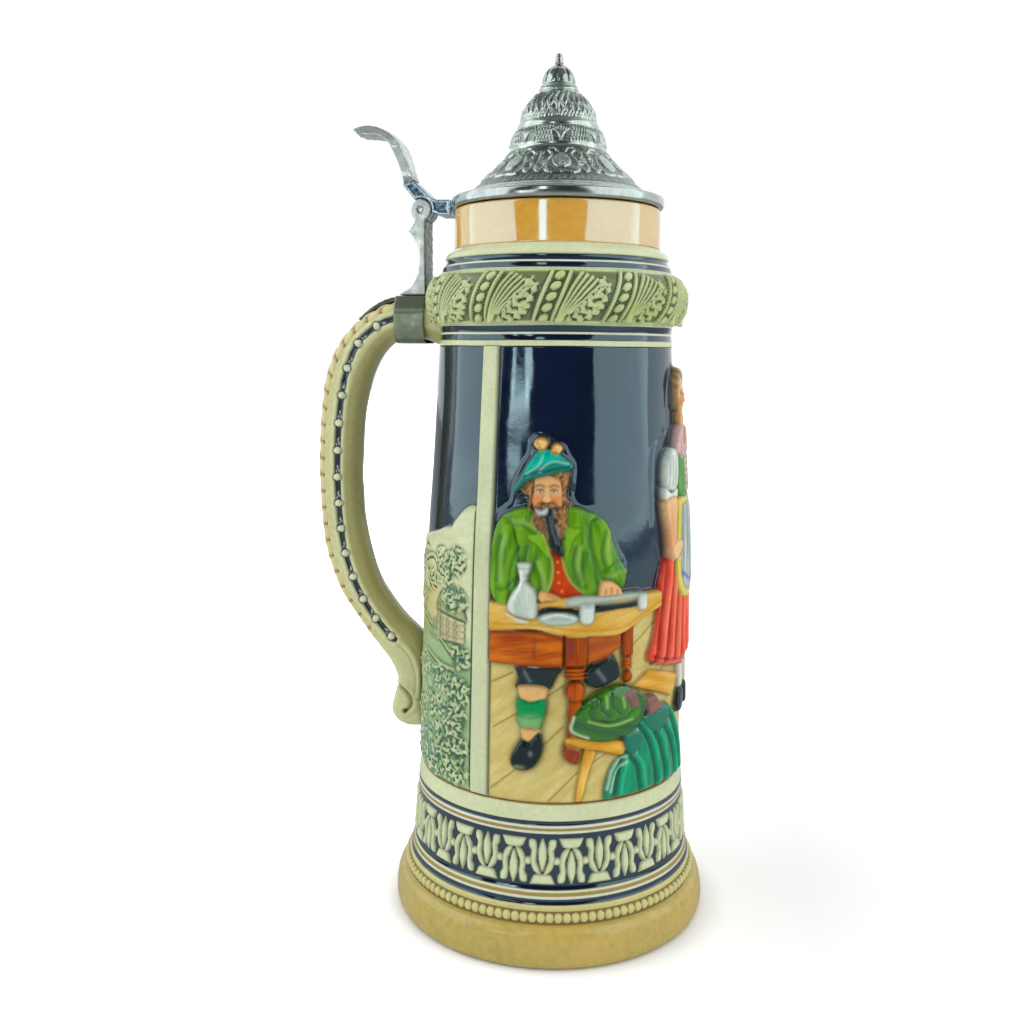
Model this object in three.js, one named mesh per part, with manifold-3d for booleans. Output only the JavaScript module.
// Lidded relief stein: a tall stoneware mug with a luted handle, and a pewter lid on a five-ring hinge.
// Millimetres, +Z up. The origin is the centre of the flat underside, the handle is towards -X, and the
// hinge pin lies along Y.
import * as THREE from 'three';
import { mergeVertices } from 'three/addons/utils/BufferGeometryUtils.js';
import Module from 'manifold-3d';

const wasm = await Module();
wasm.setup();

// ---- Driving dimensions ----
const SEAM_GAP = 0.3; // between pieces that are luted, soldered or resting on each other
const ROUND_SEGMENTS = 48;
const PROFILE_DIVISIONS = 3; // straight steps along each curved stretch of a turned profile

// Mug
const FOOT_RADIUS = 69.8;
const FOOT_TOP_Z = 16.7;
const BAND_RADIUS = 59.6; // the band between the bead ring and the picture field
const BAND_TOP_Z = 59.9;
const FIELD_BOTTOM_RADIUS = 57.6;
const FIELD_TOP_Z = 252.3;
const FIELD_TOP_RADIUS = 49.6;
const FRIEZE_Z = 269.2; // middle of the rounded frieze
const FRIEZE_CORE_RADIUS = 41.35;
const FRIEZE_ROUND = 13.65;
const FRIEZE_HALF_ANGLE = 0.913;
const NECK_RADIUS = 43.6;
const NECK_BOTTOM_Z = 290.5;
const RIM_Z = 307;
const RIM_INNER_RADIUS = 38.6;
const FLOOR_Z = 13;
const FLOOR_FILLET = 12;

// Handle
const HANDLE_WIDTH = 21;
const HANDLE_ROUND_IN_SIDE_VIEW = 5;
const HANDLE_ROUND_IN_WIDTH = 6.5;
const HANDLE_TOP_Z = 269.4;
const HANDLE_UNDER_Z = 252.9;

// Hinge
const PIVOT = { x: -58.2, z: 307.8 };
const HINGE_WIDTH = 13.4;
const RING_COUNT = 5;
const RING_RADIUS = 4.6;
const RING_GAP = 0.3;
const RING_WIDTH = (HINGE_WIDTH - (RING_COUNT - 1) * RING_GAP) / RING_COUNT;
const PIN_RADIUS = 1.1;
const PIN_CLEARANCE = 0.08;
const PIN_SEGMENTS = 24;
const SWING_CLEARANCE = 0.35;

// Strap that holds the hinge to the handle
const COLLAR_TOP_Z = 271.4;
const COLLAR_BOTTOM_Z = 251.1;
const COLLAR_HALF_WIDTH = 12.1;
const COLLAR_LENGTH = 13.6;
const COLLAR_RIGHT_X = -55.6;
const TANG_WIDTH = 8;

// Lid
const FLANGE_RADIUS = 45;
const FLANGE_INNER_RADIUS = 31;
const FLANGE_BOTTOM_Z = RIM_Z + SEAM_GAP;
const FLANGE_TOP_Z = 311.2;
const CONE_BASE_RADIUS = 39.9;
const CONE_TOP_Z = 356.4;
const CONE_WALL = 1.8;
const FINIAL_TOP_Z = 371;
const THUMB_LIFT_WIDTH = 16;

// ---- Colours ----
const glazedStoneware = { color: 0x1d2a55, roughness: 0.18, metalness: 0 };
const creamStoneware = { color: 0xd2d5b2, roughness: 0.25, metalness: 0 };
const agedPewter = { color: 0x8f978f, roughness: 0.45, metalness: 0.9 };
const polishedPewter = { color: 0xb9c4c8, roughness: 0.25, metalness: 0.95 };
const steel = { color: 0x9a9a98, roughness: 0.35, metalness: 1 };

// ---- Solids ----
function solidFrom(geometry) {
  const bare = geometry.clone();
  bare.deleteAttribute('normal');
  bare.deleteAttribute('uv');
  const merged = mergeVertices(bare, 1e-4);
  return new wasm.Manifold(new wasm.Mesh({
    numProp: 3,
    vertProperties: new Float32Array(merged.attributes.position.array),
    triVerts: new Uint32Array(merged.index.array),
  }));
}

function geometryFrom(solid) {
  const mesh = solid.getMesh();
  const geometry = new THREE.BufferGeometry();
  geometry.setAttribute('position', new THREE.BufferAttribute(mesh.vertProperties, 3));
  geometry.setIndex(new THREE.BufferAttribute(mesh.triVerts, 1));
  geometry.computeVertexNormals();
  return geometry;
}

const points = (pairs) => pairs.map(([a, b]) => new THREE.Vector2(a, b));

// A profile of (radius, height), going round the material anticlockwise, turned about Z.
function turned(profile) {
  return new THREE.LatheGeometry(profile, ROUND_SEGMENTS).rotateX(Math.PI / 2);
}

// An outline in the side view (x, z), given a width along Y and centred on y.
function slab(outline, width, y = 0) {
  const geometry = new THREE.ExtrudeGeometry(outline, { depth: width, bevelEnabled: false, curveSegments: 6 });
  return geometry.rotateX(Math.PI / 2).translate(0, y + width / 2, 0);
}

// A cylinder along Y through the hinge's pivot.
function pivotCylinder(radius, width, y = 0, segments = 32) {
  return new THREE.CylinderGeometry(radius, radius, width, segments).translate(PIVOT.x, y, PIVOT.z);
}

const material = (look) => new THREE.MeshStandardMaterial(look);

function piece(name, geometry, look) {
  const mesh = new THREE.Mesh(geometry, material(look));
  mesh.name = name;
  return mesh;
}

// ---- Mug ----
// The outside, from the underside's edge up to the rim, grown outwards by a gap.
function mugOutside(grow) {
  const g = grow;
  const path = new THREE.Path();
  path.moveTo(FOOT_RADIUS - 2.4 + g, -g);
  path.quadraticCurveTo(FOOT_RADIUS + g, 0, FOOT_RADIUS + g, 4);
  path.quadraticCurveTo(FOOT_RADIUS - 0.2 + g, 12, 66.9 + g, FOOT_TOP_Z);
  path.lineTo(65.8 + g, 19);
  path.lineTo(63.4 + g, 25.4);
  path.quadraticCurveTo(BAND_RADIUS + g, 35, BAND_RADIUS - 0.2 + g, BAND_TOP_Z);
  path.lineTo(58.4 + g, 66.5);
  path.lineTo(FIELD_BOTTOM_RADIUS + g, 67.5);
  path.bezierCurveTo(56.6 + g, 120, 55.6 + g, 165, 53.4 + g, 192);
  path.quadraticCurveTo(50.6 + g, 230, FIELD_TOP_RADIUS + g, FIELD_TOP_Z);
  path.absarc(FRIEZE_CORE_RADIUS, FRIEZE_Z, FRIEZE_ROUND + g, -FRIEZE_HALF_ANGLE, FRIEZE_HALF_ANGLE);
  path.lineTo(47.2 + g, 285.5);
  path.quadraticCurveTo(46.4 + g, 289, NECK_RADIUS + g, NECK_BOTTOM_Z);
  path.lineTo(NECK_RADIUS + g, RIM_Z - 0.8);
  path.lineTo(NECK_RADIUS - 0.8 + g, RIM_Z + g);
  return path.getPoints(PROFILE_DIVISIONS);
}

function mugInside() {
  const path = new THREE.Path();
  path.moveTo(RIM_INNER_RADIUS + 0.8, RIM_Z);
  path.lineTo(RIM_INNER_RADIUS, RIM_Z - 0.8);
  path.lineTo(RIM_INNER_RADIUS, NECK_BOTTOM_Z);
  path.bezierCurveTo(39.4, 262, 43.6, 262, 43.8, 244);
  path.quadraticCurveTo(49.8, 150, 51.2, FLOOR_Z + FLOOR_FILLET);
  path.quadraticCurveTo(51.2, FLOOR_Z, 51.2 - FLOOR_FILLET, FLOOR_Z);
  return path.getPoints(PROFILE_DIVISIONS);
}

function stonewareBody() {
  const axis = (z) => new THREE.Vector2(0, z);
  return turned([axis(0), ...mugOutside(0), ...mugInside(), axis(FLOOR_Z)]);
}

// The space the mug's outside takes up, with a seam gap round it.
function mugEnvelope() {
  const profile = mugOutside(SEAM_GAP);
  const top = profile[profile.length - 1].y;
  return solidFrom(turned([new THREE.Vector2(0, -SEAM_GAP), ...profile, new THREE.Vector2(0, top)]));
}

// ---- Handle ----
// The back runs from the strap down to the volute at the bottom, and the inside comes back up.
function handleOutline() {
  const outline = new THREE.Shape();
  outline.moveTo(-46, HANDLE_TOP_Z);
  outline.lineTo(-70.5, HANDLE_TOP_Z - 0.4);
  outline.splineThru(points([
    [-79, 266], [-89.7, 258.6], [-99.5, 245], [-104.4, 225], [-106.3, 195],
    [-104.4, 163], [-97, 140], [-83, 119], [-73.4, 107], [-70.2, 98.5], [-73.3, 89],
  ]));
  outline.splineThru(points([[-74, 82.5], [-71, 76.6], [-65.5, 75.2], [-61.5, 77]]));
  outline.lineTo(-52, 79);
  outline.lineTo(-52, 117);
  outline.lineTo(-60, 120.3);
  outline.splineThru(points([
    [-69.8, 128.6], [-80.2, 143.5], [-86.4, 166], [-88.1, 191], [-86.8, 216], [-81.3, 238], [-71.2, HANDLE_UNDER_Z - 1.2],
  ]));
  outline.lineTo(-68, HANDLE_UNDER_Z);
  outline.lineTo(-42, HANDLE_UNDER_Z - 4);
  return outline;
}

// The handle's rounded bar, grown on all sides by a gap.
function handleBar(grow) {
  const geometry = new THREE.ExtrudeGeometry(handleOutline(), {
    depth: HANDLE_WIDTH + 2 * grow - 2 * HANDLE_ROUND_IN_WIDTH,
    bevelEnabled: true,
    bevelSegments: 3,
    bevelSize: HANDLE_ROUND_IN_SIDE_VIEW,
    bevelOffset: grow - HANDLE_ROUND_IN_SIDE_VIEW,
    bevelThickness: HANDLE_ROUND_IN_WIDTH,
    curveSegments: 3,
  });
  geometry.computeBoundingBox();
  const middle = (geometry.boundingBox.min.z + geometry.boundingBox.max.z) / 2;
  return solidFrom(geometry.translate(0, 0, -middle).rotateX(Math.PI / 2));
}

function handle() {
  return geometryFrom(handleBar(0).subtract(mugEnvelope()));
}

// ---- Strap: collar, tang and hinge post ----
// The collar is a bent strap round the handle, with sloping shoulders and a rounded underside.
function strapCollar() {
  const h = COLLAR_HALF_WIDTH;
  const outline = new THREE.Shape();
  outline.moveTo(-8.6, COLLAR_TOP_Z);
  outline.lineTo(-h, COLLAR_TOP_Z - 5.6);
  outline.lineTo(-h, COLLAR_BOTTOM_Z + 7.5);
  outline.quadraticCurveTo(-h, COLLAR_BOTTOM_Z, -h + 6, COLLAR_BOTTOM_Z);
  outline.lineTo(h - 6, COLLAR_BOTTOM_Z);
  outline.quadraticCurveTo(h, COLLAR_BOTTOM_Z, h, COLLAR_BOTTOM_Z + 7.5);
  outline.lineTo(h, COLLAR_TOP_Z - 5.6);
  outline.lineTo(8.6, COLLAR_TOP_Z);
  const block = new THREE.ExtrudeGeometry(outline, { depth: COLLAR_LENGTH, bevelEnabled: false, curveSegments: 6 });
  block.rotateX(Math.PI / 2).rotateZ(-Math.PI / 2).translate(COLLAR_RIGHT_X, 0, 0);
  return geometryFrom(solidFrom(block).subtract(handleBar(SEAM_GAP)).subtract(mugEnvelope()));
}

// The tang is a leaf-shaped strip that runs down the handle's back from the collar.
function handleTang() {
  const side = new THREE.Shape();
  const start = COLLAR_RIGHT_X - COLLAR_LENGTH - SEAM_GAP;
  side.moveTo(start, HANDLE_TOP_Z - 2);
  side.lineTo(start, COLLAR_TOP_Z - 0.1);
  side.quadraticCurveTo(-78.5, 270.6, -88.6, 261.6);
  side.lineTo(-84, 259);
  const plan = new THREE.Shape();
  plan.moveTo(start, -TANG_WIDTH / 2);
  plan.lineTo(start, TANG_WIDTH / 2);
  plan.quadraticCurveTo(-80, TANG_WIDTH / 2, -88.8, 0.8);
  plan.lineTo(-88.8, -0.8);
  plan.quadraticCurveTo(-80, -TANG_WIDTH / 2, start, -TANG_WIDTH / 2);
  const leaf = new THREE.ExtrudeGeometry(plan, { depth: 30, bevelEnabled: false, curveSegments: 6 }).translate(0, 0, 250);
  return geometryFrom(solidFrom(slab(side, TANG_WIDTH)).intersect(solidFrom(leaf)).subtract(handleBar(SEAM_GAP)));
}

// The middle y of each of the five hinge rings; the post has the odd ones and the lid the even ones.
const ringMiddle = (i) => (i - (RING_COUNT - 1) / 2) * (RING_WIDTH + RING_GAP);
const POST_RINGS = [0, 2, 4];
const LID_RINGS = [1, 3];

const pinBore = () => solidFrom(pivotCylinder(PIN_RADIUS + PIN_CLEARANCE, HINGE_WIDTH + 4, 0, PIN_SEGMENTS));

function hingePost() {
  const side = new THREE.Shape();
  side.moveTo(-56.2, COLLAR_TOP_Z + SEAM_GAP);
  side.lineTo(-56.2, PIVOT.z - 4.2);
  side.lineTo(PIVOT.x, PIVOT.z);
  side.lineTo(-61.4, 304.4);
  side.lineTo(-60.9, 303.2);
  side.lineTo(-63.9, 299);
  side.quadraticCurveTo(-58.9, 294.5, -58.9, 288.5);
  side.quadraticCurveTo(-59.4, 276, -66, 273.4);
  side.lineTo(-68.6, COLLAR_TOP_Z + SEAM_GAP);
  let post = solidFrom(slab(side, HINGE_WIDTH));
  for (const i of LID_RINGS) {
    const slot = pivotCylinder(RING_RADIUS + SWING_CLEARANCE, RING_WIDTH + 2 * RING_GAP, ringMiddle(i));
    post = post.subtract(solidFrom(slot));
  }
  for (const i of POST_RINGS) {
    post = post.add(solidFrom(pivotCylinder(RING_RADIUS, RING_WIDTH, ringMiddle(i))));
  }
  return geometryFrom(post.subtract(pinBore()));
}

function hingePin() {
  return pivotCylinder(PIN_RADIUS, HINGE_WIDTH, 0, PIN_SEGMENTS);
}

// ---- Lid ----
// The arm runs from the flange over the hinge and up to the thumb lift, and carries the lid's two rings.
function lidArm() {
  const side = new THREE.Shape();
  side.moveTo(-40, 305.4);
  side.lineTo(-40, 311.6);
  side.lineTo(-51.5, 311.9);
  side.quadraticCurveTo(-54, 312.4, -56.9, 316);
  side.lineTo(-61.6, 319.9);
  side.lineTo(-66.4, 318.6);
  side.lineTo(-61.4, 312.6);
  side.lineTo(PIVOT.x, PIVOT.z);
  side.lineTo(-52.6, 306.4);
  side.lineTo(-50.2, 305.4);
  let arm = solidFrom(slab(side, HINGE_WIDTH));
  for (const i of POST_RINGS) {
    const clear = pivotCylinder(RING_RADIUS + SWING_CLEARANCE, RING_WIDTH + 2 * RING_GAP, ringMiddle(i));
    arm = arm.subtract(solidFrom(clear));
  }
  for (const i of LID_RINGS) {
    arm = arm.add(solidFrom(pivotCylinder(RING_RADIUS, RING_WIDTH, ringMiddle(i))));
  }
  const flangeSpace = new THREE.CylinderGeometry(FLANGE_RADIUS + SEAM_GAP, FLANGE_RADIUS + SEAM_GAP, 20, ROUND_SEGMENTS * 2);
  flangeSpace.rotateX(Math.PI / 2).translate(0, 0, FLANGE_BOTTOM_Z);
  return geometryFrom(arm.subtract(pinBore()).subtract(solidFrom(flangeSpace)));
}

function lidFlange() {
  const path = new THREE.Path();
  path.moveTo(FLANGE_INNER_RADIUS, FLANGE_BOTTOM_Z);
  path.lineTo(FLANGE_RADIUS - 0.8, FLANGE_BOTTOM_Z);
  path.lineTo(FLANGE_RADIUS, FLANGE_BOTTOM_Z + 0.9);
  path.quadraticCurveTo(FLANGE_RADIUS, FLANGE_TOP_Z + 0.3, FLANGE_RADIUS - 2.6, FLANGE_TOP_Z + 0.7);
  path.lineTo(CONE_BASE_RADIUS + 0.5, FLANGE_TOP_Z + 0.9);
  path.lineTo(CONE_BASE_RADIUS + 0.4, FLANGE_TOP_Z);
  path.lineTo(FLANGE_INNER_RADIUS, FLANGE_TOP_Z);
  path.lineTo(FLANGE_INNER_RADIUS, FLANGE_BOTTOM_Z);
  return turned(path.getPoints(PROFILE_DIVISIONS));
}

// The outside of the lid's hollow cone: a concave skirt, a bell-shaped waist and a small dome.
function coneOutside() {
  const path = new THREE.Path();
  path.moveTo(CONE_BASE_RADIUS, FLANGE_TOP_Z + SEAM_GAP);
  path.lineTo(CONE_BASE_RADIUS, 312.4);
  path.splineThru(points([[36.1, 314.6], [31, 319], [24.1, 324.5], [20.2, 329.8], [19, 334]]));
  path.lineTo(16.3, 339.6);
  path.splineThru(points([[15.3, 343.6], [12.9, 349], [8.4, 355]]));
  path.lineTo(7.8, CONE_TOP_Z);
  return path.getPoints(1);
}

function lidCone() {
  const outside = coneOutside();
  const inside = outside.slice(0, -1).reverse().map((p) => new THREE.Vector2(p.x - CONE_WALL, p.y - CONE_WALL / 2));
  const skirt = inside.filter((p) => p.y > FLANGE_TOP_Z + SEAM_GAP + 0.5);
  const mouth = new THREE.Vector2(CONE_BASE_RADIUS - 3.4, FLANGE_TOP_Z + SEAM_GAP);
  const crown = new THREE.Vector2(0, CONE_TOP_Z - CONE_WALL);
  return turned([mouth, ...outside, new THREE.Vector2(0, CONE_TOP_Z), crown, ...skirt, mouth]);
}

// A small leaf cup that draws in to a blunt spike.
function lidFinial() {
  const path = new THREE.Path();
  path.moveTo(0, CONE_TOP_Z + SEAM_GAP);
  path.lineTo(7.3, CONE_TOP_Z + SEAM_GAP);
  path.splineThru(points([[6.4, 359], [5.6, 362], [2.2, 366], [1.3, 370.2]]));
  path.lineTo(0, FINIAL_TOP_Z);
  return turned(path.getPoints(1));
}

// An S-curved leaf that widens towards its rolled tip.
function thumbLift() {
  const side = new THREE.Shape();
  side.moveTo(-61.5, 320.3);
  side.splineThru(points([[-64.8, 329.4], [-68.4, 336.6], [-74.8, 341.4], [-82.2, 343.1], [-88.2, 341.6]]));
  side.lineTo(-86.4, 339.8);
  side.splineThru(points([[-77, 338.8], [-72.2, 335.6], [-68.7, 328.7], [-66.3, 319]]));
  const front = new THREE.Shape();
  const half = THUMB_LIFT_WIDTH / 2;
  front.moveTo(-5, 318);
  front.splineThru(points([[-4.6, 324], [-half, 334], [-half + 1.4, 345]]));
  front.lineTo(half - 1.4, 345);
  front.splineThru(points([[half, 334], [4.6, 324], [5, 318]]));
  const leaf = new THREE.ExtrudeGeometry(front, { depth: 40, bevelEnabled: false, curveSegments: 3 });
  leaf.rotateX(Math.PI / 2).rotateZ(-Math.PI / 2).translate(-55, 0, 0);
  return geometryFrom(solidFrom(slab(side, THUMB_LIFT_WIDTH)).intersect(solidFrom(leaf)));
}

// ---- Assembly ----
const mug = new THREE.Group();
mug.add(
  piece('stoneware_body', stonewareBody(), glazedStoneware),
  piece('handle', handle(), creamStoneware),
  piece('strap_collar', strapCollar(), agedPewter),
  piece('handle_tang', handleTang(), agedPewter),
  piece('hinge_post', hingePost(), agedPewter),
  piece('hinge_pin', hingePin(), steel),
);

const lid = new THREE.Group();
lid.add(
  piece('lid_arm', lidArm(), polishedPewter),
  piece('lid_flange', lidFlange(), polishedPewter),
  piece('lid_cone', lidCone(), agedPewter),
  piece('lid_finial', lidFinial(), agedPewter),
  piece('thumb_lift', thumbLift(), agedPewter),
);

const stein = new THREE.Group();
stein.add(mug, lid);

export default stein;
